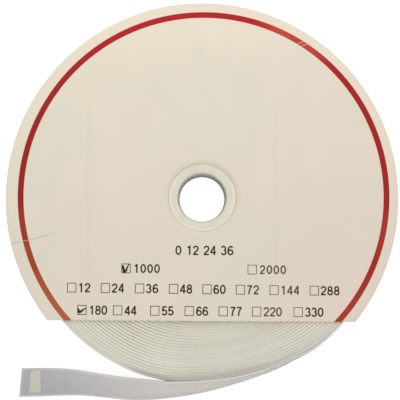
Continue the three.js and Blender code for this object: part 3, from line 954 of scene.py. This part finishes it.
verts[..., 2] = np.maximum(verts[..., 2], 0.02)
tape_end = piece("tape_end", verts.reshape(-1, 3), ribbon_faces(len(s_at), len(FLAT)), end_web, sharp=60)
m = len(FLAT)
i, j = np.meshgrid(np.arange(len(s_at) - 1), np.arange(m), indexing="ij")
along = s_at - START_S
corners = [(i, j), (i, (j + 1) % m), (i + 1, (j + 1) % m), (i + 1, j)]
weave = np.stack([np.stack([along[a], flat_v[b]], -1) for a, b in corners], -2).reshape(-1, 2)
cap_uv = np.stack([np.zeros(m), flat_v], -1)
add_uv(tape_end, "weave", np.concatenate([weave, cap_uv, cap_uv + [along[-1], 0]]))
tape_end.data.uv_layers["weave"].active_render = True
end_length = float(np.sum(np.linalg.norm(np.diff(strip.point(s_at, 10.0, np.zeros(len(s_at))), axis=0), axis=1)))


# ---------------------------------------------------------------- hooks

JHOOK = np.array([(0.0, -0.06), (0.0, 0.55), (0.03, 0.98), (0.22, 1.30), (0.50, 1.30), (0.64, 1.05), (0.60, 0.84)])
JTHICK = np.array([0.125, 0.12, 0.12, 0.12, 0.115, 0.105, 0.09])
SHORT = np.array([(0.0, -0.06), (0.02, 0.80), (0.28, 1.22), (0.60, 0.95)])
STHICK = np.array([0.13, 0.125, 0.12, 0.10])


def hooks(name, p, t, a, nrm, heights, turn, path, thick, sides, material):
    """One bent filament for each base point p; nrm is up, turn the direction of its bend from across towards along."""
    n, k = len(p), len(path)
    d = np.cos(turn)[:, None] * a + np.sin(turn)[:, None] * t
    b = np.cross(nrm, d)
    g = np.gradient(path, axis=0)
    g /= np.linalg.norm(g, axis=1)[:, None]
    c = p[:, None] + d[:, None] * (path[None, :, :1] * heights[:, None, None]) + nrm[:, None] * (path[None, :, 1:] * heights[:, None, None])
    q = d[:, None] * g[None, :, 1:] - nrm[:, None] * g[None, :, :1]
    al = np.arange(sides) * 2 * np.pi / sides + np.pi / sides
    ring = np.cos(al)[None, None, :, None] * q[:, :, None] + np.sin(al)[None, None, :, None] * b[:, None, None]
    verts = (c[:, :, None] + ring * thick[None, :, None, None]).reshape(-1, 3)
    kk, ss_ = np.meshgrid(np.arange(k - 1), np.arange(sides), indexing="ij")
    s2 = (ss_ + 1) % sides
    one = np.stack([kk * sides + ss_, (kk + 1) * sides + ss_, (kk + 1) * sides + s2, kk * sides + s2], -1).reshape(-1, 4)
    base = (np.arange(n) * k * sides)
    side = (one[None] + base[:, None, None]).reshape(n, -1, 4)
    bottom = np.arange(sides)[None] + base[:, None]
    tip = (k - 1) * sides + np.arange(sides)[::-1][None] + base[:, None]
    faces = []
    for h in range(n):
        faces += side[h].tolist()
        faces.append(bottom[h].tolist())
        faces.append(tip[h].tolist())
    o = piece(name, verts, faces, material)
    # bake map: a cell for each hook
    cells = int(math.ceil(math.sqrt(n)))
    cu = np.stack([kk / k, (kk + 1) / k, (kk + 1) / k, kk / k], -1).reshape(-1)
    cv = np.stack([ss_ / sides, ss_ / sides, (ss_ + 1) / sides, (ss_ + 1) / sides], -1).reshape(-1)
    cap = np.stack([(k - 1) / k + 0.4 / k * (1 + np.cos(al)), 0.5 + 0.4 * np.sin(al)], -1)
    cell = np.concatenate([np.stack([cu, cv], -1), cap, cap[::-1]]) * 0.9 + 0.05
    origin = np.stack([np.arange(n) % cells, np.arange(n) // cells], -1)
    add_uv(o, "OFBake", ((cell[None] + origin[:, None]) / cells).reshape(-1, 2))
    return o


ROWS = np.linspace(1.6, 18.4, 15)
ALONG = 1.1
TALL = 0.74                         # of the hook drawn above, whose own height is about 1.35
LEAVES_S = knots[10]                # where the free end leaves the roll


def spread(count, lines):
    """Row and column numbers of a field of hooks; the callers set every other row half a step on."""
    c, r = np.meshgrid(np.arange(count), np.arange(lines), indexing="ij")
    return c.ravel(), r.ravel()


TAB_X, TAB_V = (-120.9, -112.8), (2.9, 18.7)

def strip_hooks(name, s0, s1, along, thick, tall):
    """Hooks of the free end between s0 and s1, pressed flat under the end tab."""
    c, r = spread(int((s1 - s0) / along), len(ROWS))
    hs = s0 + (c + 0.5 * (r % 2)) * along + rng.normal(0, 0.09, len(c))
    hv = ROWS[r] + rng.normal(0, 0.08, len(c))
    keep = hs < END_S - 0.5
    hs, hv, r = hs[keep], hv[keep], r[keep]
    p, t, a, nrm = strip.frame(hs, hv)
    p = p + nrm * 0.34
    heights = np.interp(hs, *tall) + rng.normal(0, 0.05, len(hs))
    under = (p[:, 0] > TAB_X[0] - 0.3) & (p[:, 0] < TAB_X[1] + 0.3) & (hv > TAB_V[0] - 0.4) & (hv < TAB_V[1] + 0.4)
    heights[under] = 0.30
    turn = np.where(r % 2 == 0, 0.0, np.pi) + rng.normal(0, 0.35, len(hs))
    return hooks(name, p, t, a, nrm, heights, turn, JHOOK, JTHICK * thick, 4, end_nylon)


wrap_hooks = strip_hooks("tape_wrap_hooks", START_S + 0.4, knots[8], 0.85, 1.2, ((knots[6], knots[8]), (TALL, 0.58)))
end_hooks = strip_hooks("tape_end_hooks", knots[8], END_S, 1.05, 1.0, ((LEAVES_S, LEAVES_S + 25), (0.58, TALL)))

count = int(766 * FREE_FROM / ALONG)
c, r = spread(count, len(ROWS))
ht = TURNS - FREE_FROM + (c + 0.5 * (r % 2)) / count * (FREE_FROM - 0.0004) + rng.normal(0, 0.09 / 766, len(c))
hv = ROWS[r] + rng.normal(0, 0.08, len(c))
p = wound_point(ht, hv, WOUND_OUT + (WEB_OUT - WOUND_OUT) * smoothstep(ht, TURNS - 0.10, TURNS - 0.02))
e = 0.0006
t = wound_point(ht + e, hv, 0.0 * ht) - wound_point(ht - e, hv, 0.0 * ht)
t /= np.linalg.norm(t, axis=1)[:, None]
a = np.broadcast_to(np.array([0.0, 0, 1]), t.shape)
nrm = np.cross(a, t)
heights = rng.normal(0.60, 0.04, len(ht))
turn = np.where(r % 2 == 0, 0.0, np.pi) + rng.normal(0, 0.35, len(ht))
pack_hooks = hooks("pack_hooks", p, t, a, nrm, heights, turn, SHORT, STHICK, 3, pack_nylon)
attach(pack_hooks, "spool")


# ---------------------------------------------------------------- end tab

def s_of_x(x):
    line = strip.point(strip.s, 10.0, np.zeros(len(strip.s)))
    tail = strip.s > END_S - 60
    return float(np.interp(-x, -line[tail][:, 0], strip.s[tail]))


nu, nv = 17, 33
tu = np.linspace(-1, 1, nu)
tv = np.linspace(-1, 1, nv)
su, sv = np.meshgrid(tu, tv, indexing="ij")
s0, s1 = s_of_x(TAB_X[1]), s_of_x(TAB_X[0])
corner = 1 - 0.02 * (np.abs(su) ** 6) * (np.abs(sv) ** 6)
tab_s = (s0 + s1) / 2 + (s1 - s0) / 2 * su * corner + 0.10 * np.sin(sv * 5.0)
tab_v = sum(TAB_V) / 2 + (TAB_V[1] - TAB_V[0]) / 2 * sv * corner + 0.08 * np.sin(su * 4.0 + 1)
droop = -0.22 * np.maximum(np.abs(su) ** 5, np.abs(sv) ** 14)
crinkle = 0.06 * np.sin(su * 6.5 + sv * 3.1) * np.sin(sv * 9.0 + 0.7) + 0.03 * np.sin(su * 13 + 1.2) * np.sin(sv * 17)
mid = 0.93 + droop + crinkle
top = strip.point(tab_s, tab_v, mid + 0.14)
bot = strip.point(tab_s, tab_v, mid - 0.14)
verts = np.concatenate([top.reshape(-1, 3), bot.reshape(-1, 3)])
k = nu * nv
faces = []
for iu in range(nu - 1):
    for iv in range(nv - 1):
        q = iu * nv + iv
        faces.append([q, q + nv, q + nv + 1, q + 1])
        faces.append([k + q, k + q + 1, k + q + nv + 1, k + q + nv])
rim = [iu * nv for iu in range(nu)] + [(nu - 1) * nv + iv for iv in range(1, nv)] + [iu * nv + nv - 1 for iu in range(nu - 2, -1, -1)] + [iv for iv in range(nv - 2, 0, -1)]
for q, w in zip(rim, rim[1:] + rim[:1]):
    faces.append([q, k + q, k + w, w])
end_tab = piece("end_tab_strip", verts, faces, tab_cream, sharp=60)
bm = bmesh.new()
bm.from_mesh(end_tab.data)
bmesh.ops.recalc_face_normals(bm, faces=bm.faces)
bm.to_mesh(end_tab.data)
bm.free()
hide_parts("end_tab")
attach(end_tab, "tail")


# ---------------------------------------------------------------- the free end's meshes keep their placement, and the CAD's outer wrap and tail are hidden

for o in (tape_end, wrap_hooks, end_hooks):
    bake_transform(o)
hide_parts("outer_wrap", "tape_tail")
path = strip.point(np.linspace(START_S, END_S, 72), 10.0, np.zeros(72))


# ---------------------------------------------------------------- floor and light

def plane(name, z, half):
    me = bpy.data.meshes.new(name)
    me.from_pydata([(-half, -half, z), (half, -half, z), (half, half, z), (-half, half, z)], [], [(0, 1, 2, 3)])
    o = bpy.data.objects.new(name, me)
    bpy.context.scene.collection.objects.link(o)
    return o


floor = plane("floor", -0.0003, 4.0)
g = Graph("floor_white", roughness=0.9, specular=0.0)
g.bsdf.inputs["Base Color"].default_value = (0.22, 0.22, 0.22, 1)
g.bsdf.inputs["Emission Color"].default_value = (1, 1, 1, 1)
g.bsdf.inputs["Emission Strength"].default_value = 0.9
floor.data.materials.append(g.mat)
floor.visible_diffuse = False
floor.visible_glossy = False
floor.visible_shadow = False

bounce = plane("floor_bounce", -0.0008, 4.0)
g = Graph("floor_grey", roughness=0.9, specular=0.0)
g.bsdf.inputs["Base Color"].default_value = (0.24, 0.24, 0.24, 1)
bounce.data.materials.append(g.mat)
bounce.visible_camera = False

world = bpy.data.worlds.new("studio")
bpy.context.scene.world = world
world.use_nodes = True
world.node_tree.nodes["Background"].inputs["Color"].default_value = (1.0, 0.99, 0.98, 1)
world.node_tree.nodes["Background"].inputs["Strength"].default_value = 0.80


def softbox(name, place, target, size, watts, colour=(1, 1, 1)):
    light = bpy.data.lights.new(name, "AREA")
    light.shape = "RECTANGLE"
    light.size, light.size_y = size
    light.energy = watts
    light.color = colour
    o = bpy.data.objects.new(name, light)
    bpy.context.scene.collection.objects.link(o)
    aim(o, place, target)
    return o


softbox("key", (-0.05, 0.40, 0.44), (0, 0, 0), (0.7, 0.4), 0.62, (1.0, 0.985, 0.96))
softbox("fill", (0.9, -0.3, 0.8), (0, 0, 0), (0.8, 0.8), 0.4)

bpy.context.view_layer.update()
